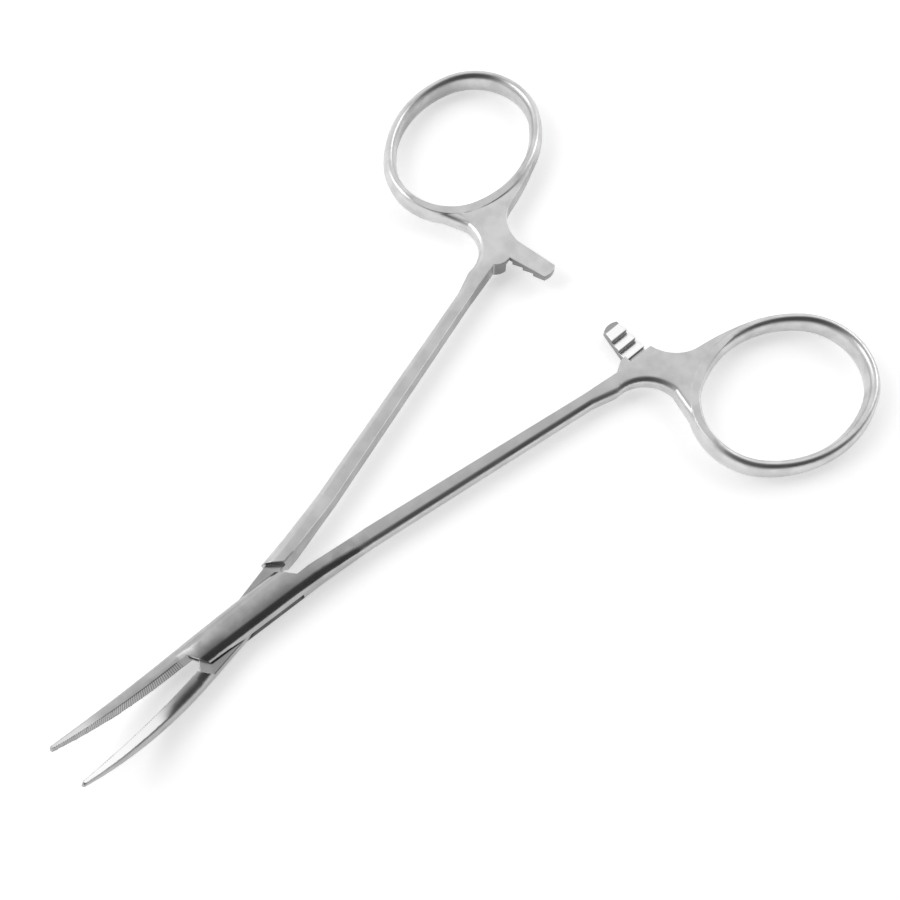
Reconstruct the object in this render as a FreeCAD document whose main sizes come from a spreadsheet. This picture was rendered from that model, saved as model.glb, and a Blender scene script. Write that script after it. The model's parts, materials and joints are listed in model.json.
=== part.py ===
"""Curved haemostatic forceps with a box lock, a ratchet and two finger rings.

Millimetres. The pivot axis is Z, the jaw tips point along +X and the surface it lies on is z = 0.
Each half is drawn in its closed pose: "along" runs from the pivot toward the rings (minus X), "out"
runs from the closing plane to that half's own ring. The placement then opens the half.
"""
import FreeCAD, Part
import math
import os
import Sketcher

SIZES = [
    ("opening_shown", 11.0, "angle between the two halves as they lie"),
    ("box_height", 4.0, "height of the box lock, which rests on the surface"),
    ("box_back", 13.0, "shank end of the box lock"),
    ("box_front", 8.3, "jaw end of the box lock, where the jaws start to curve"),
    ("box_level", 2.0, "how far the box keeps its full height, jaw side"),
    ("box_side_back", 2.9, "half width of the box at its shank end, ring side"),
    ("box_side_front", 2.25, "half width of the box at its jaw end, far from the jaw"),
    ("box_far_back", 2.4, "half width of the box at its shank end, far from the shank"),
    ("box_far_front", 2.55, "half width of the box at its jaw end, jaw side"),
    ("box_round", 1.45, "rounding of the long edges of the box"),
    ("cheek_thickness", 1.25, "one cheek, above or below the slot"),
    ("tongue_clearance", 0.06, "gap between the tongue and each cheek"),
    ("slot_reach", 10.3, "radius of the slot's end wall, shank side"),
    ("slot_front", 7.2, "radius of the slot's end wall, jaw side"),
    ("shoulder_reach", 11.2, "where the shank's shoulder crosses the closing plane"),
    ("shoulder_slant", 42.0, "slant of the shank's shoulder"),
    ("jaw_shoulder_reach", 8.0, "where the jaw's shoulder crosses the closing plane"),
    ("jaw_shoulder_slant", 32.0, "slant of the jaw's shoulder"),
    ("shoulder_gap", 0.3, "gap between a cheek's end and the shank's shoulder, closed"),
    ("jaw_shoulder_gap", 1.1, "gap between a cheek's end and the jaw's shoulder, closed"),
    ("pin_diameter", 2.2, "pivot pin"),
    ("pin_clearance", 0.04, "radial running clearance of the pin in the tongue"),
    ("shank_height", 2.9, "height of the shank, neck and upper arm face"),
    ("shank_start", 22.0, "where the shank has come down to its own height"),
    ("seam_step", 0.02, "how far the shank's own forging stands proud at shank_start"),
    ("neck_setback", 23.04, "from the ring's centre back to where the shank widens into the neck"),
    ("shank_gap_box", 0.22, "inner face of the shank from the closing plane, at the box"),
    ("shank_gap_start", 0.95, "inner face at shank_start"),
    ("shank_gap_end", 5.95, "inner face where the neck begins"),
    ("shank_width_start", 2.6, "width of the shank at shank_start"),
    ("shank_width_end", 2.15, "width of the shank where the neck begins"),
    ("shank_round", 0.95, "rounding of the outer long edges of the shank"),
    ("ring_along", 83.04, "centre of the finger ring, along"),
    ("ring_out", 24.91, "centre of the finger ring, out"),
    ("ring_half_length", 14.11, "long half axis of the band's centre line"),
    ("ring_half_width", 11.26, "short half axis of the band's centre line"),
    ("ring_end_arc", 9.95, "radius of the band's centre line round its long ends"),
    ("ring_tilt", 9.0, "outward tilt of the ring's long axis"),
    ("ring_band_width", 2.14, "width of the ring's band, seen from above"),
    ("ring_band_height", 4.0, "height of the ring's band"),
    ("ring_band_round", 0.72, "radius of the band's crests"),
    ("neck_direction", 238.0, "where the neck meets the band; 0 is the ring's far end"),
    ("neck_blend", 6.0, "over how much of the ring the band comes down to the neck's level"),
    ("arm_setback", 10.04, "from the ring's centre back to the ratchet arms"),
    ("arm_width", 2.7, "width of a ratchet arm, along"),
    ("arm_tip_upper", 1.3, "how far the upper arm passes the closing plane"),
    ("arm_tip_lower", 0.6, "how far the lower arm passes the closing plane"),
    ("arm_root_rise", 0.45, "from the shank's inner face out to the neck's full height"),
    ("tooth_pitch", 1.9, "pitch of the ratchet teeth"),
    ("tooth_height", 0.65, "height of a ratchet tooth"),
    ("tooth_crest", 0.05, "crest of the teeth beyond the middle plane"),
    ("first_crest_lower", 1.9, "first crest of the lower arm, out"),
    ("first_crest_upper", 1.1, "first crest of the upper arm, out"),
    ("jaw_bend_radius", 31.0, "radius of the jaws' upward curve"),
    ("jaw_sweep", 37.0, "angle that the curve turns through"),
    ("jaw_root_height", 3.2, "height of a jaw at its root"),
    ("jaw_tip_height", 1.0, "height of a jaw at its tip"),
    ("jaw_root_depth", 1.95, "thickness of a jaw at its root"),
    ("jaw_tip_depth", 0.55, "thickness of a jaw at its tip"),
    ("jaw_tip_round", 0.2, "rounding of the jaw's end"),
    ("jaw_root_gap", 0.6, "grip face from the middle of the opening, at the root"),
    ("jaw_tip_gap", 0.33, "grip face from the middle of the opening, at the tip"),
]
TOOTH_COUNT = 3
JAW_SECTIONS = 4
NOSE_SECTIONS = 2
BAND_SIDES = 16
FLANK_DIRECTION = 193.0
FINISH_DIRECTION = 284.0
UP = FreeCAD.Vector(0, 0, 1)

doc = FreeCAD.newDocument("Forceps")
sheet = doc.addObject("Spreadsheet::Sheet", "Sizes")
for row, (alias, value, meaning) in enumerate(SIZES, start=1):
    sheet.set(f"A{row}", str(value))
    sheet.setAlias(f"A{row}", alias)
    sheet.set(f"B{row}", meaning)
doc.recompute()


def size(alias):
    return float(sheet.get(alias))


def sketch_on(body, name, role, base=(0, 0, 0), axis=(0, 0, 1), turn=0.0):
    """A sketch on one of the body's own origin planes, shifted and turned within it."""
    sketch = body.newObject("Sketcher::SketchObject", name)
    plane = [item for item in body.Origin.OriginFeatures if item.Role == role][0]
    sketch.AttachmentSupport = [(plane, "")]
    sketch.MapMode = "FlatFace"
    rotation = FreeCAD.Rotation(FreeCAD.Vector(*axis), turn)
    sketch.AttachmentOffset = FreeCAD.Placement(FreeCAD.Vector(*base), rotation)
    return sketch


def draw(sketch, start, steps):
    """A closed outline. A step is an end point, or a pair: a point on the arc, then its end."""
    here = FreeCAD.Vector(*start, 0)
    for step in steps:
        if isinstance(step[0], tuple):
            end = FreeCAD.Vector(*step[1], 0)
            sketch.addGeometry(Part.Arc(here, FreeCAD.Vector(*step[0], 0), end), False)
        else:
            end = FreeCAD.Vector(*step, 0)
            sketch.addGeometry(Part.LineSegment(here, end), False)
        here = end


def d_section(body, name, side, inner, outer, height, corner):
    """A flat inner wall and a rounded outer one, drawn about the middle plane."""
    half = height / 2
    bend = corner * (1 - math.sqrt(0.5))
    sketch = sketch_on(body, name, "YZ_Plane")

    def at(out, up):
        return (side * out, up)

    draw(sketch, at(inner, -half), [
        at(inner, half),
        at(outer - corner, half),
        (at(outer - bend, half - bend), at(outer, half - corner)),
        at(outer, corner - half),
        (at(outer - bend, bend - half), at(outer - corner, -half)),
        at(inner, -half),
    ])
    return sketch


def barrel_section(body, name, side, far, near, height, corner):
    """The box's section, rounded on both sides: far is measured away from the ring."""
    half = height / 2
    bend = corner * (1 - math.sqrt(0.5))
    sketch = sketch_on(body, name, "YZ_Plane")

    def at(out, up):
        return (side * out, up)

    draw(sketch, at(corner - far, half), [
        at(near - corner, half),
        (at(near - bend, half - bend), at(near, half - corner)),
        at(near, corner - half),
        (at(near - bend, bend - half), at(near - corner, -half)),
        at(corner - far, -half),
        (at(bend - far, bend - half), at(-far, corner - half)),
        at(-far, half - corner),
        (at(bend - far, half - bend), at(corner - far, half)),
    ])
    return sketch


def loft(body, name, sections):
    feature = body.newObject("PartDesign::AdditiveLoft", name)
    feature.Profile = sections[0]
    feature.Sections = sections[1:]
    doc.recompute()
    return feature


def stand(sketch, along, height="Sizes.box_height / 2"):
    """Ties a section's place along the half, and the height of its middle, to the sheet."""
    sketch.setExpression("AttachmentOffset.Base.z", f"-({along})")
    sketch.setExpression("AttachmentOffset.Base.y", height)


def between(start, end, share):
    return start + (end - start) * share


def cut(body, name, sketch, depth):
    """A pocket, checked to have removed something."""
    before = body.Shape.Volume
    pocket = body.newObject("PartDesign::Pocket", name)
    pocket.Profile = sketch
    pocket.Reversed = True
    pocket.setExpression("Length", depth)
    doc.recompute()
    if body.Shape.Volume >= before:
        raise ValueError(f"{name} removed nothing")
    return pocket


def cut_plan(body, name, side, bottom, depth, start, steps):
    """Cuts a plan outline, given as (along, out), upward from bottom through depth."""
    sketch = sketch_on(body, name + "Plan", "XY_Plane")
    sketch.setExpression("AttachmentOffset.Base.z", bottom)

    def at(point):
        return (-point[0], side * point[1])

    turned = []
    for step in steps:
        if isinstance(step[0], tuple):
            turned.append((at(step[0]), at(step[1])))
        else:
            turned.append(at(step))
    draw(sketch, at(start), turned)
    cut(body, name, sketch, depth)


def long_edges(body, ends):
    """Names of the level edges whose ends both stand above or below one of the given plan points."""
    corners = [FreeCAD.Vector(*end, 0) for end in ends]
    names = []
    for number, edge in enumerate(body.Shape.Edges, start=1):
        feet = [FreeCAD.Vector(vertex.X, vertex.Y, 0) for vertex in edge.Vertexes]
        level = abs(edge.Vertexes[0].Z - edge.Vertexes[-1].Z) < 1e-6
        if level and all(min(foot.distanceToPoint(corner) for corner in corners) < 1e-4 for foot in feet):
            names.append(f"Edge{number}")
    return names


def rounded(body, name, base, edges, radius):
    fillet = body.newObject("PartDesign::Fillet", name)
    fillet.Base = (base, edges)
    fillet.setExpression("Radius", radius)
    doc.recompute()
    return fillet


def box(body, side):
    """The box's outer form: level over the pivot, then a nose that comes down to the jaw's height."""
    back = size("box_back")
    front = -size("box_level")
    seam = size("seam_step")
    share = (back - front) / (back + size("box_front"))
    near = between(size("box_side_back"), size("box_side_front"), share)
    far = between(size("box_far_back"), size("box_far_front"), share)
    near_side = [(-back, side * size("box_side_back")), (-front, side * near)]
    far_side = [(-front, -side * far), (-back, -side * size("box_far_back"))]
    sketch = sketch_on(body, "BoxPlan", "XY_Plane")
    draw(sketch, near_side[0], [near_side[1], *far_side, near_side[0]])
    pad = body.newObject("PartDesign::Pad", "Box")
    pad.Profile = sketch
    pad.setExpression("Length", "Sizes.box_height")
    doc.recompute()
    edges = long_edges(body, near_side) + long_edges(body, far_side)
    rounded(body, "BoxRound", pad, edges, "Sizes.box_round")

    nose = []
    for step in range(NOSE_SECTIONS + 1):
        part = step / NOSE_SECTIONS
        height = between(size("box_height") - 2 * seam, size("jaw_root_height") + 0.1, part ** 2)
        section = barrel_section(body, f"NoseSection{step}", side,
                                 between(far - seam, size("box_far_front"), part),
                                 between(near - seam, size("box_side_front"), part),
                                 height, size("box_round"))
        stand(section, f"-Sizes.box_level - (Sizes.box_front - Sizes.box_level) * {part}")
        nose.append(section)
    loft(body, "Nose", nose)


def shank_root(body, side):
    """Comes down from the box's height to the shank's own."""
    seam = size("seam_step")
    inner_end = size("shank_gap_start") + seam
    outer_end = size("shank_gap_start") + size("shank_width_start") - seam
    sections = []
    for step, share in enumerate((0.0, 0.35, 0.75, 1.0)):
        ease = share * share * (3 - 2 * share)
        inner = between(size("shank_gap_box"), inner_end, share)
        outer = between(size("box_side_back") - seam, outer_end, share)
        height = between(size("box_height") - 2 * seam, size("shank_height") - 2 * seam, ease)
        corner = between(size("box_round"), size("shank_round"), ease)
        section = d_section(body, f"ShankSection{step}", side, inner, outer, height, corner)
        stand(section, f"Sizes.box_back + (Sizes.shank_start - Sizes.box_back) * {share}")
        sections.append(section)
    return loft(body, "ShankRoot", sections)


def oval_arcs(long_half, wide_half, end_radius):
    """An oval of four tangent arcs, each as (centre, radius, first and last direction)."""
    end_centre = long_half - end_radius
    excess = wide_half - end_radius
    side_centre = (end_centre ** 2 - excess ** 2) / (2 * excess)
    side_radius = wide_half + side_centre
    join = math.degrees(math.atan2(side_centre, end_centre))
    return [
        ((end_centre, 0.0), end_radius, -join, join),
        ((0.0, -side_centre), side_radius, join, 180.0 - join),
        ((-end_centre, 0.0), end_radius, 180.0 - join, 180.0 + join),
        ((0.0, side_centre), side_radius, 180.0 + join, 360.0 - join),
    ]


def facing(arcs, direction):
    """The point where an oval faces a direction, 0 along its long axis."""
    turned = (direction - arcs[0][2]) % 360.0 + arcs[0][2]
    centre, radius = [arc[:2] for arc in arcs if arc[2] <= turned <= arc[3]][0]
    angle = math.radians(turned)
    return (centre[0] + radius * math.cos(angle), centre[1] + radius * math.sin(angle))


def ring_line():
    """The centre line of the ring's band, long axis first."""
    return oval_arcs(size("ring_half_length"), size("ring_half_width"), size("ring_end_arc"))


def ring_point(direction, outward=0.0):
    """Where the band's centre line faces a direction, as (along, out); 0 is the ring's far end."""
    reach, spread = facing(ring_line(), direction)
    reach += outward * math.cos(math.radians(direction))
    spread += outward * math.sin(math.radians(direction))
    tilt = math.radians(size("ring_tilt"))
    along = size("ring_along") + reach * math.cos(tilt) - spread * math.sin(tilt)
    out = size("ring_out") + reach * math.sin(tilt) + spread * math.cos(tilt)
    return (along, out)


def bulged(start, end, bulge):
    """The middle of an arc between two points, bulging to the right of the way from start to end."""
    run = (end[0] - start[0], end[1] - start[1])
    length = math.hypot(*run)
    return ((start[0] + end[0]) / 2 + bulge * run[1] / length,
            (start[1] + end[1]) / 2 - bulge * run[0] / length)


def handle(body, side, arm_tip, arm_lean):
    """Shank, neck and ratchet arm as one flat forging, its outer edges rounded."""
    start = size("shank_start")
    end = size("ring_along") - size("neck_setback")
    inner_start = (start, size("shank_gap_start"))
    inner_end = (end, size("shank_gap_end"))
    outer_start = (start, size("shank_gap_start") + size("shank_width_start"))
    outer_end = (end, size("shank_gap_end") + size("shank_width_end"))
    back = size("ring_along") - size("arm_setback")
    root = size("shank_gap_end") + size("arm_root_rise")
    front = back - size("arm_width")
    in_wall = 0.35 * size("ring_band_width")
    flank = ring_point(FLANK_DIRECTION, in_wall)
    near_join = ring_line()[3][2]
    finish = ring_point(FINISH_DIRECTION, in_wall)
    waist = (flank[0] + 1.4, flank[1] - 5.9)
    flare = (end + 4.0, outer_end[1] + 1.05)
    crook = (finish[0] - 10.6, finish[1] - 2.7)
    sketch = sketch_on(body, "HandlePlan", "XY_Plane")
    sketch.setExpression("AttachmentOffset.Base.z", "Sizes.box_height / 2 - Sizes.shank_height / 2")

    def at(point):
        return (-point[0], side * point[1])

    near_root = (front - arm_lean, root - 0.9)
    arm_start = (front - arm_lean - 2.6, root + 0.25)
    far_root = (back, root - 0.2)
    draw(sketch, at(inner_start), [
        at(inner_end),
        at(arm_start),
        (at(bulged(arm_start, near_root, 0.45)), at(near_root)),
        at((front, 0.4 - arm_tip)),
        (at((back - size("arm_width") / 2, -arm_tip)), at((back, 0.4 - arm_tip))),
        at(far_root),
        (at(bulged(far_root, crook, -1.3)), at(crook)),
        (at(bulged(crook, finish, 0.35)), at(finish)),
        (at(ring_point((FINISH_DIRECTION + near_join) / 2)), at(ring_point(near_join))),
        (at(ring_point((FLANK_DIRECTION + near_join) / 2)), at(flank)),
        at(waist),
        (at(bulged(flare, waist, 1.75)), at(flare)),
        at(outer_end),
        at(outer_start),
        at(inner_start),
    ])
    pad = body.newObject("PartDesign::Pad", "Handle")
    pad.Profile = sketch
    pad.setExpression("Length", "Sizes.shank_height")
    doc.recompute()
    outer = [at(point) for point in (flank, waist, flare, outer_end, outer_start)]
    return rounded(body, "OuterRound", pad, long_edges(body, outer), "Sizes.shank_round")


def ring(body, side):
    """The finger ring: an upright oval section turned about four centres, each arc tangent to the next.

    The section has short straight sides, so that the band is cones and stays light.
    """
    tilt = -side * size("ring_tilt")
    turn = math.radians(tilt)
    section = oval_arcs(size("ring_band_height") / 2, size("ring_band_width") / 2, size("ring_band_round"))
    for number, (centre, radius, first, last) in enumerate(ring_line(), start=1):
        centre_x = centre[0] * math.cos(turn) - centre[1] * math.sin(turn) - size("ring_along")
        centre_y = centre[0] * math.sin(turn) + centre[1] * math.cos(turn) + side * size("ring_out")
        band = sketch_on(body, f"BandSection{number}", "XZ_Plane", base=(centre_x, 0, -centre_y),
                         axis=(0, 1, 0), turn=tilt + first)
        band.setExpression("AttachmentOffset.Base.y", "Sizes.box_height / 2")

        corners = []
        for side_number in range(BAND_SIDES + 1):
            tall, wide = facing(section, 360.0 * side_number / BAND_SIDES)
            corners.append((radius + wide, tall))
        draw(band, corners[0], corners[1:-1] + [corners[0]])
        arc = body.newObject("PartDesign::Revolution", f"Band{number}")
        arc.Profile = band
        arc.ReferenceAxis = (band, ["V_Axis"])
        arc.Angle = last - first
        doc.recompute()


def blend_ring(body, side):
    """Slants the band's crests down to the neck's own level where the two meet, above and below."""
    crest = ring_point(size("neck_direction"))
    step = (size("ring_along") - crest[0], side * (crest[1] - size("ring_out")))
    start = math.hypot(*step) + size("ring_band_width") / 2
    end = start - size("neck_blend")
    level = size("shank_height") / 2
    top = size("ring_band_height") / 2
    sketch = sketch_on(body, "NeckBlendProfile", "XZ_Plane",
                       base=(-size("ring_along"), 0, -side * size("ring_out")),
                       axis=(0, 1, 0), turn=math.degrees(math.atan2(step[1], step[0])))
    sketch.setExpression("AttachmentOffset.Base.y", "Sizes.box_height / 2")
    for up in (1, -1):
        draw(sketch, (start, up * level), [
            (end, up * top),
            (end, up * top * 1.2),
            (start, up * top * 1.2),
            (start, up * level),
        ])
    cut(body, "NeckBlend", sketch, "Sizes.ring_half_length * 2").Midplane = True
    doc.recompute()


def round_tip(body):
    """Rounds the end of the jaw."""
    tip = max(body.Shape.Faces, key=lambda face: face.CenterOfMass.x)
    tip_edges = []
    for number, edge in enumerate(body.Shape.Edges, start=1):
        if any(edge.isSame(other) for other in tip.Edges):
            tip_edges.append(f"Edge{number}")
    return rounded(body, "TipRound", body.Tip, tip_edges, "Sizes.jaw_tip_round")


def jaw(body, side):
    """A D section that narrows along an upward arc, its flat grip face toward the closing plane."""
    sections = []
    for step in range(JAW_SECTIONS + 1):
        share = step / JAW_SECTIONS
        narrowing = share * share
        height = between(size("jaw_root_height"), size("jaw_tip_height"), narrowing)
        reached = math.sin(math.radians(share * size("jaw_sweep"))) / math.sin(math.radians(size("jaw_sweep")))
        gap = between(size("jaw_root_gap"), size("jaw_tip_gap"), reached)
        back = gap + between(size("jaw_root_depth"), size("jaw_tip_depth"), narrowing)
        corner = 0.42 * height
        section = d_section(body, f"JawSection{step}", -side, gap, back, height, corner)
        angle = f"Sizes.jaw_sweep * {step} / {JAW_SECTIONS}"
        reach = f"Sizes.box_front + Sizes.jaw_bend_radius * sin({angle} * 1 deg)"
        rise = f"Sizes.box_height / 2 + Sizes.jaw_bend_radius * (1 - cos({angle} * 1 deg))"
        section.AttachmentOffset = FreeCAD.Placement(
            FreeCAD.Vector(0, 0, 0), FreeCAD.Rotation(FreeCAD.Vector(-1, 0, 0), 1.0))
        section.setExpression("AttachmentOffset.Rotation.Angle", f"{angle} * 1 deg")
        section.setExpression("AttachmentOffset.Base.z", reach)
        section.setExpression("AttachmentOffset.Base.y", rise)
        sections.append(section)
    return loft(body, "Jaw", sections)


def half_form(name, side, arm_tip, arm_lean):
    """The outer form that both halves share, before the lock is cut."""
    body = doc.addObject("PartDesign::Body", name)
    body.Label = name
    handle(body, side, arm_tip, arm_lean)
    box(body, side)
    shank_root(body, side)
    jaw(body, side)
    round_tip(body)
    ring(body, side)
    blend_ring(body, side)
    return body


def shoulder_line(out, gap=0.0):
    """Where the shank's shoulder lies at a distance out; the cheek's end is the same line, mirrored."""
    slant = math.radians(size("shoulder_slant"))
    return size("shoulder_reach") - gap / math.cos(slant) - out * math.tan(slant)


def jaw_shoulder_line(out, gap=0.0):
    slant = math.radians(size("jaw_shoulder_slant"))
    return gap / math.cos(slant) - size("jaw_shoulder_reach") - out * math.tan(slant)


def cut_arm(body, side, lower, first_crest):
    """Leaves half the arm's height, with the ratchet teeth on its inner face."""
    crest = size("tooth_crest")
    valley = crest - size("tooth_height")
    wall = size("shank_height") / 2 + 0.2
    drop = 0.06
    root = size("shank_gap_end") + size("arm_root_rise")
    beyond = -size("arm_tip_upper") - size("arm_tip_lower")
    up = 1 if lower else -1
    sketch = sketch_on(body, "TeethProfile", "YZ_Plane")
    sketch.setExpression("AttachmentOffset.Base.z", "-(Sizes.ring_along - Sizes.arm_setback + Sizes.arm_width / 2)")
    sketch.setExpression("AttachmentOffset.Base.y", "Sizes.box_height / 2")

    def at(out, rise):
        return (side * out, up * rise)

    steps = [at(root, valley)]
    for tooth in reversed(range(TOOTH_COUNT)):
        top = first_crest + tooth * size("tooth_pitch")
        steps.append(at(top + drop, valley))
        steps.append(at(top, crest))
    steps.append(at(beyond, valley))
    steps.append(at(beyond, wall))
    steps.append(at(root + 0.3, wall))
    draw(sketch, at(root + 0.3, wall), steps)
    cut(body, "Teeth", sketch, "Sizes.arm_width * 2")


def bore(body, radius):
    sketch = sketch_on(body, "BorePlan", "XY_Plane")
    circle = sketch.addGeometry(Part.Circle(FreeCAD.Vector(0, 0, 0), UP, size("pin_diameter") / 2), False)
    sketch.addConstraint(Sketcher.Constraint("Coincident", circle, 3, -1, 1))
    sketch.addConstraint(Sketcher.Constraint("Radius", circle, size("pin_diameter") / 2))
    sketch.renameConstraint(1, "radius")
    sketch.setExpression("Constraints.radius", radius)
    cut(body, "Bore", sketch, "Sizes.box_height")


def box_half():
    """The half that is slotted through: two cheeks, with the other half's tongue between them."""
    side = 1
    body = half_form("box_half", side, size("arm_tip_lower"), 1.1)
    gap = size("shank_gap_box")
    clear = size("shoulder_gap")
    wide = size("box_side_back") + 0.5
    back = size("box_back")
    cut_plan(body, "CheekEnd", side, "0", "Sizes.box_height", (shoulder_line(wide, clear), -wide), [
        (shoulder_line(-gap, clear), gap),
        (back, gap),
        (back, -wide),
        (shoulder_line(wide, clear), -wide),
    ])
    front_gap = size("jaw_root_gap")
    front = -size("box_front")
    front_clear = size("jaw_shoulder_gap")
    cut_plan(body, "CheekFront", side, "0", "Sizes.box_height",
             (jaw_shoulder_line(-wide, front_clear), wide), [
                 (jaw_shoulder_line(front_gap, front_clear), -front_gap),
                 (front, -front_gap),
                 (front, wide),
                 (jaw_shoulder_line(-wide, front_clear), wide),
             ])
    reach = size("slot_reach")
    near = size("slot_front")
    spread = math.radians(40.0)
    tip = (reach * math.cos(spread), reach * math.sin(spread))
    end = (-near * math.cos(spread), near * math.sin(spread))
    wall = math.sqrt(reach ** 2 - gap ** 2)
    half_way = (reach * math.cos(spread / 2), reach * math.sin(spread / 2))
    cut_plan(body, "Slot", side, "Sizes.cheek_thickness", "Sizes.box_height - 2 * Sizes.cheek_thickness",
             (back, -wide), [
                 (back, gap),
                 (wall, gap),
                 (half_way, tip),
                 end,
                 ((-near, 0.0), (end[0], -end[1])),
                 (back, -wide),
             ])
    cut_arm(body, side, True, size("first_crest_lower"))
    bore(body, "Sizes.pin_diameter / 2")
    return body


def through_half():
    """The half that passes through: full height outside the lock, a thin tongue inside it."""
    side = -1
    body = half_form("through_half", side, size("arm_tip_upper"), 0.5)
    gap = size("shank_gap_box")
    wide = size("box_side_back") + 0.5
    back = size("box_back")
    turn_reach = size("slot_reach") - size("shoulder_gap") - 0.1
    corner = math.sqrt(turn_reach ** 2 - wide ** 2)
    middle = math.sqrt(turn_reach ** 2 - (wide / 2) ** 2)
    cut_plan(body, "TongueInner", side, "0", "Sizes.box_height", (back, -wide), [
        (back, gap),
        (math.sqrt(turn_reach ** 2 - gap ** 2), gap),
        ((middle, -wide / 2), (corner, -wide)),
        (back, -wide),
    ])
    front_gap = size("jaw_root_gap")
    front = -size("box_front")
    tongue_side = size("box_far_back") - 0.1
    cut_plan(body, "TongueOuter", side, "0", "Sizes.box_height",
             (shoulder_line(tongue_side), tongue_side), [
                 (3.0, tongue_side - 0.4),
                 (-6.4, 0.5),
                 (jaw_shoulder_line(-front_gap) + 0.15, -front_gap),
                 (front, -front_gap),
                 (front, wide),
                 (shoulder_line(wide), wide),
                 (shoulder_line(tongue_side), tongue_side),
             ])
    over_cheek = "Sizes.cheek_thickness + Sizes.tongue_clearance"
    for name, bottom in (("UnderTongue", "0"), ("OverTongue", f"Sizes.box_height - ({over_cheek})")):
        cut_plan(body, name, side, bottom, over_cheek, (shoulder_line(wide), wide), [
            (shoulder_line(-wide), -wide),
            (jaw_shoulder_line(-wide), -wide),
            (jaw_shoulder_line(wide), wide),
            (shoulder_line(wide), wide),
        ])
    cut_arm(body, side, False, size("first_crest_upper"))
    bore(body, "Sizes.pin_diameter / 2 + Sizes.pin_clearance")
    return body


def pivot_pin():
    pin = doc.addObject("Part::Cylinder", "pivot_pin")
    pin.Label = "pivot_pin"
    pin.setExpression("Radius", "Sizes.pin_diameter / 2")
    pin.setExpression("Height", "Sizes.box_height")
    return pin


def open_half(body, side):
    """Turns a half from its closed pose to the pose shown."""
    body.Placement = FreeCAD.Placement(FreeCAD.Vector(0, 0, 0), FreeCAD.Rotation(UP * -side, 1.0))
    body.setExpression("Placement.Rotation.Angle", "Sizes.opening_shown / 2 * 1 deg")


box_body = box_half()
through_body = through_half()
open_half(box_body, 1)
open_half(through_body, -1)
pieces = [box_body, through_body, pivot_pin()]
doc.recompute()

for item in doc.Objects:
    if "Invalid" in item.State or "Error" in item.State:
        raise ValueError(f"{item.Name} is {item.State}")
for piece in pieces:
    if piece.Shape.isNull() or not piece.Shape.isValid():
        raise ValueError(f"{piece.Label} is not a valid shape")
    if len(piece.Shape.Solids) != 1:
        raise ValueError(f"{piece.Label} is in {len(piece.Shape.Solids)} solids")

os.makedirs("parts", exist_ok=True)
for piece in pieces:
    piece.Shape.exportStep(f"parts/{piece.Label}.step")
    print(piece.Label, round(piece.Shape.Volume, 2), "mm3")
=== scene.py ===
import json
import math

import bpy
from mathutils import Matrix, Vector

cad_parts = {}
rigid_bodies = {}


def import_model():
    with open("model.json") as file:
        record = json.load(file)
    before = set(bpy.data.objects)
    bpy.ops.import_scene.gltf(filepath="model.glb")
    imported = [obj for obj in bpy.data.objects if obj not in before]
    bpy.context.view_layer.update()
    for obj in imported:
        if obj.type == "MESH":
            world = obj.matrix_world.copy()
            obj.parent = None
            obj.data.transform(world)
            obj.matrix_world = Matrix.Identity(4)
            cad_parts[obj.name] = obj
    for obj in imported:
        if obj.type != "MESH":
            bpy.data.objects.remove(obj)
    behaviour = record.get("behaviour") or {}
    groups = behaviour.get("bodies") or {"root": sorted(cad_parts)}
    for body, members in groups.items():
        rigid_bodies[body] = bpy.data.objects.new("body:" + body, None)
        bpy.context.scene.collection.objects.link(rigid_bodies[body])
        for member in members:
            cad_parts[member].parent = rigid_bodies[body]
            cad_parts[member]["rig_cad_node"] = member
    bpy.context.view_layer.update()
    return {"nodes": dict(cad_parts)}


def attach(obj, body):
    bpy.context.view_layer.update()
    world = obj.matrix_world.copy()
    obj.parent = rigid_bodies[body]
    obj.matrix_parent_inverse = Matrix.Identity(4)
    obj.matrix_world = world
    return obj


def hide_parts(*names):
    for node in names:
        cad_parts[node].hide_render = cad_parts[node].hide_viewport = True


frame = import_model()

MM = 0.001
nodes = frame["nodes"]


# Node helpers

def new_material(name):
    material = bpy.data.materials.new(name)
    material.use_nodes = True
    tree = material.node_tree
    return material, tree, tree.nodes["Principled BSDF"]


def add(tree, kind, **settings):
    node = tree.nodes.new(kind)
    for name, value in settings.items():
        setattr(node, name, value)
    return node


def feed(tree, socket, value):
    """Sets a socket to a plain number or links it to another socket."""
    if isinstance(value, (int, float)):
        socket.default_value = value
    else:
        tree.links.new(value, socket)


def math_node(tree, operation, first, second=0.0):
    node = add(tree, "ShaderNodeMath", operation=operation)
    feed(tree, node.inputs[0], first)
    feed(tree, node.inputs[1], second)
    return node.outputs[0]


def times(tree, first, second):
    return math_node(tree, "MULTIPLY", first, second)


def less(tree, first, second):
    return math_node(tree, "SUBTRACT", first, second)


def rise(tree, value, start, end):
    """0 below start and 1 above end, smoothly."""
    node = add(tree, "ShaderNodeMapRange", interpolation_type="SMOOTHSTEP")
    node.inputs["From Min"].default_value = start
    node.inputs["From Max"].default_value = end
    tree.links.new(value, node.inputs["Value"])
    return node.outputs["Result"]


def fall(tree, value, start, end):
    """1 below start and 0 above end, smoothly."""
    return less(tree, 1.0, rise(tree, value, start, end))


def mix(tree, factor, low, high):
    """Between two plain numbers or sockets."""
    node = add(tree, "ShaderNodeMix", data_type="FLOAT")
    tree.links.new(factor, node.inputs["Factor"])
    feed(tree, node.inputs["A"], low)
    feed(tree, node.inputs["B"], high)
    return node.outputs["Result"]


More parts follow.
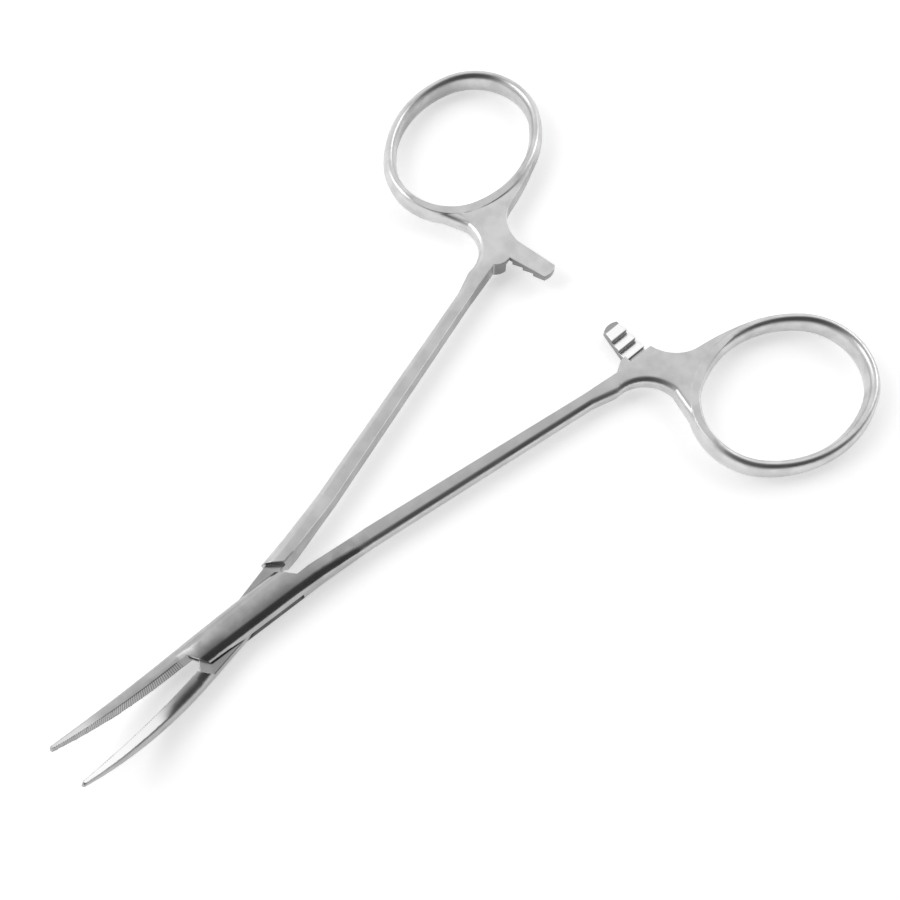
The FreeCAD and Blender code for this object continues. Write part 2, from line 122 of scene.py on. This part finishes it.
def vector_mix(tree, factor, low, high):
    node = add(tree, "ShaderNodeMix", data_type="VECTOR")
    tree.links.new(factor, node.inputs["Factor"])
    sockets = [socket for socket in node.inputs if socket.type == "VECTOR" and socket.enabled]
    tree.links.new(low, sockets[-2])
    tree.links.new(high, sockets[-1])
    return [socket for socket in node.outputs if socket.enabled][0]


def split(tree, vector):
    node = add(tree, "ShaderNodeSeparateXYZ")
    tree.links.new(vector, node.inputs["Vector"])
    return node.outputs["X"], node.outputs["Y"], node.outputs["Z"]


def dot(tree, first, second):
    node = add(tree, "ShaderNodeVectorMath", operation="DOT_PRODUCT")
    tree.links.new(first, node.inputs[0])
    tree.links.new(second, node.inputs[1])
    return node.outputs["Value"]


def turned_normal(tree, normal, source, target):
    """A normal carried over from world to object space or back."""
    node = add(tree, "ShaderNodeVectorTransform", vector_type="NORMAL",
               convert_from=source, convert_to=target)
    tree.links.new(normal, node.inputs["Vector"])
    return node.outputs["Vector"]


def bump(tree, height, distance, strength):
    node = add(tree, "ShaderNodeBump")
    node.inputs["Distance"].default_value = distance
    feed(tree, node.inputs["Strength"], strength)
    tree.links.new(height, node.inputs["Height"])
    return node


def ramp(tree, source, stops):
    """A colour ramp from a list of (place, grey level)."""
    node = add(tree, "ShaderNodeValToRGB")
    elements = node.color_ramp.elements
    while len(elements) < len(stops):
        elements.new(0.5)
    for element, (place, grey) in zip(elements, stops):
        element.position = place
        element.color = (grey, grey, grey, 1.0)
    tree.links.new(source, node.inputs["Fac"])
    return node.outputs["Color"]


def object_position(tree, scale=(1, 1, 1), turn=0.0):
    """Object coordinates, turned about Z and scaled."""
    place = add(tree, "ShaderNodeTexCoord")
    mapping = add(tree, "ShaderNodeMapping")
    mapping.inputs["Rotation"].default_value = (0, 0, turn)
    mapping.inputs["Scale"].default_value = scale
    tree.links.new(place.outputs["Object"], mapping.inputs["Vector"])
    return mapping.outputs["Vector"]


def noise(tree, vector, scale, detail):
    node = add(tree, "ShaderNodeTexNoise")
    node.inputs["Scale"].default_value = scale
    node.inputs["Detail"].default_value = detail
    node.inputs["Roughness"].default_value = 0.6
    tree.links.new(vector, node.inputs["Vector"])
    return node.outputs["Fac"]


# The halves' measures. All places are those of the closed pose: x runs to the jaws from the pivot.

def span(start, end):
    return start * MM, end * MM


OPENING = math.radians(11.0)
SLOTTED = 1
THROUGH = -1

LEVEL_HEIGHT = 2.0 * MM
JAW_START = 8.3 * MM
JAW_ARC = 19.6 * MM
JAW_SWEEP = math.radians(37)
JAW_BEND = 31.0 * MM
JAW_BEND_HEIGHT = JAW_BEND + LEVEL_HEIGHT
ROOT_GAP = 0.64 * MM
TIP_GAP = 0.37 * MM

SERRATION_PITCH = 0.32 * MM
SERRATION_DEPTH = 0.05 * MM
CREST = 0.25
ROOT = 0.75

# Where one part of a half passes into the next
RING_TO_NECK = span(-80, -71)
NECK_TO_SHANK = span(-72, -58)
BROKEN_TO_SHARP = span(-63, -62)
SHANK_EDGES_START = span(-62, -61)
SHANK_EDGES_END = span(-15, -14)
RATCHET_END = span(-61, -60)
INNER_WALL_SHADE_END = span(-9, -8)
CROWN_START = span(-14, -8)
CROWN_END = span(6.5, 8.5)
BOX_TO_JAW = span(5, 8)
ARM_START = span(-6.6, -6.4)
NOSE_CAP = span(-0.35, -0.2)


# Finishes, with painted highlights, shade and dark reflection

# Grey levels between the soft clouds and within them
RING_GREY = (0.58, 0.68)
NECK_GREY = (0.62, 0.72)
SHANK_GREY = (0.55, 0.62)
# The polished box lock and jaws get a darker grey, a painted dark reflection of the room
POLISHED_DARK_REFLECTION_GREY = (0.40, 0.47)
# Painted highlight along the long edges of the shanks
EDGE_HIGHLIGHT_GREY = 1.0
# Painted shade on the flat inner walls
INNER_WALL_SHADE_SHARE = 0.76
# Painted highlight on the ratchet ramps, painted shade on its steep faces and nose cap
RATCHET_RAMP_HIGHLIGHT_GREY = 0.98
RATCHET_STEEP_SHADE_GREY = 0.3
NOSE_CAP_SHADE_GREY = 0.36
# Painted shade in the roots of the grip teeth
TOOTH_ROOT_SHADE_SHARE = 0.2

SATIN_ROUGHNESS = (0.36, 0.28)
BOX_ROUGHNESS = 0.2
JAW_ROUGHNESS = 0.3
EDGE_HIGHLIGHT_ROUGHNESS = 0.5

CLOUD_SCALE = 260.0
BRUSHING_SCALE = (60, 900, 900)
BRUSHING_HEIGHT = 0.02 * MM
POLISH_FADE = 0.9 * MM
BROKEN_EDGE_RADIUS = 0.22 * MM
CROWN_RADIUS = 15.0 * MM


def flat_facet(tree, normal, sweep, turn, strength):
    """Turns the rounded back of a curved jaw to the flat ground facet along it."""
    facet = add(tree, "ShaderNodeCombineXYZ")
    tree.links.new(times(tree, math_node(tree, "SINE", sweep), -1.0), facet.inputs["X"])
    tree.links.new(math_node(tree, "COSINE", sweep), facet.inputs["Z"])
    opened = add(tree, "ShaderNodeVectorRotate", rotation_type="Z_AXIS")
    opened.inputs["Angle"].default_value = -turn
    tree.links.new(facet.outputs["Vector"], opened.inputs["Vector"])
    placed = turned_normal(tree, opened.outputs["Vector"], "OBJECT", "WORLD")
    on_back = times(tree, rise(tree, dot(tree, normal, placed), 0.70, 0.80), strength)
    return vector_mix(tree, on_back, normal, placed), on_back


def satin_grey(tree, x, clouds):
    """The satin finish, a little lighter on the necks than on rings and shanks."""
    ring = mix(tree, clouds, *RING_GREY)
    neck = mix(tree, clouds, *NECK_GREY)
    shank = mix(tree, clouds, *SHANK_GREY)
    ring_and_neck = mix(tree, rise(tree, x, *RING_TO_NECK), ring, neck)
    return mix(tree, rise(tree, x, *NECK_TO_SHANK), ring_and_neck, shank)


def ratchet_highlight_and_shade(tree, grey, x, inward, upright, side):
    """Painted highlight on the ratchet's ramps, the brightest faces; painted shade on its steep
    faces and the lower nose.
    """
    on_ratchet = times(tree, rise(tree, inward, *ARM_START), fall(tree, x, *RATCHET_END))
    tilted = times(tree, rise(tree, upright, 0.86, 0.90), fall(tree, upright, 0.988, 0.996))
    grey = mix(tree, times(tree, on_ratchet, tilted), grey, RATCHET_RAMP_HIGHLIGHT_GREY)
    steep = fall(tree, upright, 0.5, 0.8)
    grey = mix(tree, times(tree, on_ratchet, steep), grey, RATCHET_STEEP_SHADE_GREY)
    nose = times(tree, rise(tree, inward, *NOSE_CAP), on_ratchet)
    return mix(tree, times(tree, nose, max(side, 0)), grey, NOSE_CAP_SHADE_GREY)


def tooth_roots(tree, x, inward, sweep):
    """1 in the roots of the fine teeth across the grip face, 0 elsewhere."""
    wave = math_node(tree, "SINE", times(tree, sweep, JAW_BEND * math.tau / SERRATION_PITCH))
    gap = mix(tree, rise(tree, sweep, 0.0, JAW_SWEEP), ROOT_GAP, TIP_GAP)
    on_face = fall(tree, less(tree, inward, gap), 0.05 * MM, 0.09 * MM)
    gripping = times(tree, on_face, rise(tree, x, JAW_START, JAW_START + 0.4 * MM))
    return times(tree, rise(tree, times(tree, wave, -1.0), 0.1, 0.9), gripping)


def forceps_steel(name, side, polish_from, facet_from, facet_highlight_grey, broken_from):
    """Stainless steel: satin on shanks and rings, bright on the box lock and jaws, where a darker
    grey is painted in as dark reflection; painted highlights and shade on edges, facets, ratchet
    and teeth.
    """
    material, tree, steel = new_material(name)
    turn = side * OPENING / 2
    closed = object_position(tree, turn=turn)
    x, y, z = split(tree, closed)
    inward = times(tree, y, -side)
    sweep = math_node(tree, "ARCTAN2", less(tree, x, JAW_START), less(tree, JAW_BEND_HEIGHT, z))
    clouds = rise(tree, noise(tree, closed, CLOUD_SCALE, 3.0), 0.35, 0.65)
    polish = rise(tree, x, polish_from - POLISH_FADE, polish_from + POLISH_FADE)
    # Painted dark reflection: the polished zone takes the darker polished grey
    grey = mix(tree, polish, satin_grey(tree, x, clouds), mix(tree, clouds, *POLISHED_DARK_REFLECTION_GREY))

    # Edges of rings and jaws broken by polishing, and the facet ground along the jaw's back, which
    # also gets a lighter grey as a painted highlight
    smooth = add(tree, "ShaderNodeNewGeometry").outputs["Normal"]
    edge_node = add(tree, "ShaderNodeBevel", samples=6)
    edge_node.inputs["Radius"].default_value = BROKEN_EDGE_RADIUS
    broken = edge_node.outputs["Normal"]
    near_ends = math_node(tree, "MAXIMUM", rise(tree, x, broken_from, broken_from + 0.4 * MM),
                          fall(tree, x, *BROKEN_TO_SHARP))
    edged = vector_mix(tree, near_ends, smooth, broken)
    facet_share = rise(tree, x, facet_from, facet_from + 4 * MM)
    faced, on_back = flat_facet(tree, edged, sweep, turn, facet_share)
    # Painted highlight: the jaw's back facet takes a lighter grey
    grey = mix(tree, on_back, grey, facet_highlight_grey)

    # Painted shade: the flat inner walls, which face the other half, get a darker grey
    sideways, upright = split(tree, turned_normal(tree, smooth, "WORLD", "OBJECT"))[1:]
    inner_wall_shade = times(tree, rise(tree, times(tree, sideways, -side), 0.8, 0.95),
                   fall(tree, x, *INNER_WALL_SHADE_END))
    grey = times(tree, grey, mix(tree, inner_wall_shade, 1.0, INNER_WALL_SHADE_SHARE))
    grey = ratchet_highlight_and_shade(tree, grey, x, inward, upright, side)

    # Painted highlight: a light line along the long edges of the shanks
    off_flat = rise(tree, less(tree, 1.0, dot(tree, smooth, broken)), 0.06, 0.12)
    on_shank = times(tree, rise(tree, x, *SHANK_EDGES_START), fall(tree, x, *SHANK_EDGES_END))
    edge_highlight = times(tree, off_flat, on_shank)
    grey = mix(tree, edge_highlight, grey, EDGE_HIGHLIGHT_GREY)

    # Painted shade in the roots of the grip teeth
    roots = tooth_roots(tree, x, inward, sweep)
    grey = times(tree, grey, mix(tree, roots, 1.0, TOOTH_ROOT_SHADE_SHARE))
    tree.links.new(grey, steel.inputs["Base Color"])

    steel.inputs["Metallic"].default_value = 1.0
    polished = mix(tree, rise(tree, x, *BOX_TO_JAW), BOX_ROUGHNESS, JAW_ROUGHNESS)
    rough = mix(tree, polish, mix(tree, clouds, *SATIN_ROUGHNESS), polished)
    rough = mix(tree, edge_highlight, rough, EDGE_HIGHLIGHT_ROUGHNESS)
    tree.links.new(rough, steel.inputs["Roughness"])

    # The slotted half's cheeks are slightly crowned, and all of it is brushed along
    crowned = times(tree, times(tree, y, y), -0.5 / CROWN_RADIUS)
    on_box = times(tree, rise(tree, x, *CROWN_START), fall(tree, x, *CROWN_END))
    crown = bump(tree, crowned, 1.0, times(tree, on_box, max(side, 0)))
    tree.links.new(faced, crown.inputs["Normal"])
    grain = noise(tree, object_position(tree, BRUSHING_SCALE, turn), 1.0, 4.0)
    brushed = bump(tree, grain, BRUSHING_HEIGHT, 0.15)
    tree.links.new(crown.outputs["Normal"], brushed.inputs["Normal"])
    tree.links.new(brushed.outputs["Normal"], steel.inputs["Normal"])
    return material


# Halves

def cut_teeth(half, side):
    """Cuts the grip face across at each tooth's crest and root, and presses the roots in."""
    opened = Matrix.Rotation(-side * OPENING / 2, 3, "Z")
    closed = opened.inverted()
    grip = opened @ Vector((0, side, 0))
    bend = opened @ Vector((JAW_START, 0, JAW_BEND_HEIGHT))
    count = int(JAW_ARC / SERRATION_PITCH)

    # Only the grip face stays open to the cuts
    bpy.context.tool_settings.mesh_select_mode = (False, False, True)
    for part in (*half.data.vertices, *half.data.edges):
        part.select = False
    for face in half.data.polygons:
        along = (closed @ face.center).x
        face.select = face.normal.dot(grip) > 0.98 and along > JAW_START + 0.3 * MM
    bpy.ops.object.mode_set(mode="EDIT")
    bpy.ops.mesh.hide(unselected=True)
    for tooth in range(1, count):
        for line in (CREST, ROOT):
            sweep = (tooth + line) * SERRATION_PITCH / JAW_BEND
            across = opened @ Vector((math.cos(sweep), 0, math.sin(sweep)))
            bpy.ops.mesh.select_all(action="SELECT")
            bpy.ops.mesh.bisect(plane_co=bend, plane_no=across, threshold=0.002 * MM)
    bpy.ops.object.mode_set(mode="OBJECT")

    roots = []
    for vertex in half.data.vertices:
        place = closed @ vertex.co
        sweep = math.atan2(place.x - JAW_START, JAW_BEND_HEIGHT - place.z)
        run = sweep * JAW_BEND / SERRATION_PITCH
        if not vertex.hide and 1 <= run < count and abs(run % 1.0 - ROOT) < 0.02:
            roots.append(vertex.index)
    bpy.ops.object.mode_set(mode="EDIT")
    bpy.ops.mesh.reveal(select=False)
    bpy.ops.object.mode_set(mode="OBJECT")
    for root in roots:
        half.data.vertices[root].co -= grip * SERRATION_DEPTH
    half.data.update()


def polished_half(node, body, material, side):
    """The half as one joined skin, smooth across its curves, with its teeth cut."""
    bpy.ops.object.select_all(action="DESELECT")
    nodes[node].select_set(True)
    bpy.context.view_layer.objects.active = nodes[node]
    bpy.ops.object.duplicate()
    half = bpy.context.active_object
    half.name = node + "_polished"
    del half["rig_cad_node"]
    bpy.ops.object.mode_set(mode="EDIT")
    bpy.ops.mesh.select_all(action="SELECT")
    bpy.ops.mesh.customdata_custom_splitnormals_clear()
    bpy.ops.mesh.remove_doubles(threshold=0.001 * MM)
    bpy.ops.object.mode_set(mode="OBJECT")
    cut_teeth(half, side)
    bpy.ops.object.shade_smooth_by_angle(angle=math.radians(32))
    half.data.materials.clear()
    half.data.materials.append(material)
    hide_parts(node)
    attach(half, body)


slotted_steel = forceps_steel("slotted_half_satin", SLOTTED, polish_from=-19.7 * MM,
                              facet_from=19 * MM, facet_highlight_grey=0.66, broken_from=8.6 * MM)
through_steel = forceps_steel("through_half_satin", THROUGH, polish_from=-9.4 * MM,
                              facet_from=12 * MM, facet_highlight_grey=0.95, broken_from=-13 * MM)
polished_half("box_half", "slotted_side", slotted_steel, SLOTTED)
polished_half("through_half", "through_side", through_steel, THROUGH)
nodes["pivot_pin"].data.materials.clear()
nodes["pivot_pin"].data.materials.append(slotted_steel)


# Floor

FLOOR_WIDTH = 6.0
FLOOR_DROP = -0.02 * MM
FLOOR_GLOW = 0.5


def paper_floor():
    """White paper: it looks white to the camera and in the metal, and still takes the shadow."""
    bpy.ops.object.select_all(action="DESELECT")
    bpy.ops.mesh.primitive_grid_add(x_subdivisions=8, y_subdivisions=8, size=FLOOR_WIDTH,
                                    location=(0, 0, FLOOR_DROP))
    floor = bpy.context.active_object
    floor.name = "paper_floor"
    material, tree, paper = new_material("white_paper")
    paper.inputs["Base Color"].default_value = (0.82, 0.82, 0.83, 1)
    paper.inputs["Roughness"].default_value = 0.9
    paper.inputs["Specular IOR Level"].default_value = 0.1
    glow = add(tree, "ShaderNodeEmission")
    glow.inputs["Color"].default_value = (1, 1, 1, 1)
    ray = add(tree, "ShaderNodeLightPath").outputs
    seen = math_node(tree, "MAXIMUM", ray["Is Camera Ray"], ray["Is Glossy Ray"])
    seen = math_node(tree, "MAXIMUM", seen, ray["Is Transmission Ray"])
    tree.links.new(times(tree, seen, FLOOR_GLOW), glow.inputs["Strength"])
    both = add(tree, "ShaderNodeAddShader")
    tree.links.new(paper.outputs[0], both.inputs[0])
    tree.links.new(glow.outputs[0], both.inputs[1])
    tree.links.new(both.outputs[0], tree.nodes["Material Output"].inputs["Surface"])
    floor.data.materials.append(material)


paper_floor()


# Camera and light

VIEW_AZIMUTH = math.radians(133.616)
VIEW_ELEVATION = math.radians(66.944)
VIEW_DISTANCE = 168.94 * MM
VIEW_TARGET = Vector((-40.04, 2.57, 0.0)) * MM
FOCAL_LENGTH = 45.75
SENSOR_WIDTH = 36.0

# The room's grey by the cosine of the angle from the middle of its dark opening
DARK_BEARING = math.radians(-70)
DARK_ELEVATION = math.radians(42)
ROOM_GREYS = [(0.0, 1.0), (0.34, 0.85), (0.62, 0.24), (0.8, 0.07)]
LAMP_DISTANCE = 0.8


def compass(bearing, elevation):
    """A direction from the photo's own right (bearing 0) and up the picture (90 degrees)."""
    turned = VIEW_AZIMUTH + bearing
    level = math.cos(elevation)
    return Vector((math.cos(turned) * level, math.sin(turned) * level, math.sin(elevation)))


def photo_camera():
    data = bpy.data.cameras.new("photo_camera")
    data.sensor_width = SENSOR_WIDTH
    data.lens = FOCAL_LENGTH
    data.clip_start = 0.01
    data.clip_end = 20.0
    camera = bpy.data.objects.new("photo_camera", data)
    bpy.context.scene.collection.objects.link(camera)
    back = compass(math.radians(-90), VIEW_ELEVATION)
    camera.location = VIEW_TARGET + back * VIEW_DISTANCE
    camera.rotation_mode = "QUATERNION"
    camera.rotation_quaternion = (-back).to_track_quat("-Z", "Y")
    bpy.context.scene.camera = camera


def room_light():
    """A white tent with a dark opening on the viewer's side, which gives steel its bands."""
    world = bpy.data.worlds.new("studio")
    bpy.context.scene.world = world
    world.use_nodes = True
    tree = world.node_tree
    place = add(tree, "ShaderNodeTexCoord")
    toward = add(tree, "ShaderNodeVectorMath", operation="DOT_PRODUCT")
    tree.links.new(place.outputs["Generated"], toward.inputs[0])
    toward.inputs[1].default_value = compass(DARK_BEARING, DARK_ELEVATION)
    back = tree.nodes["Background"]
    tree.links.new(ramp(tree, toward.outputs["Value"], ROOM_GREYS), back.inputs["Color"])
    back.inputs["Strength"].default_value = 1.0


def soft_box(name, bearing, elevation, width, height, power):
    """A lamp of the given size in metres and power in watts, aimed at the forceps."""
    data = bpy.data.lights.new(name, "AREA")
    data.shape = "RECTANGLE"
    data.size = width
    data.size_y = height
    data.energy = power
    lamp = bpy.data.objects.new(name, data)
    bpy.context.scene.collection.objects.link(lamp)
    place = VIEW_TARGET + compass(math.radians(bearing), math.radians(elevation)) * LAMP_DISTANCE
    lamp.location = place
    lamp.rotation_mode = "QUATERNION"
    lamp.rotation_quaternion = (VIEW_TARGET - place).to_track_quat("-Z", "Y")


photo_camera()
room_light()
soft_box("left_soft_box", 175, 42, width=0.45, height=0.45, power=1.6)
soft_box("right_soft_box", 35, 38, width=0.35, height=0.3, power=0.7)

scene = bpy.context.scene
scene.view_settings.view_transform = "Standard"
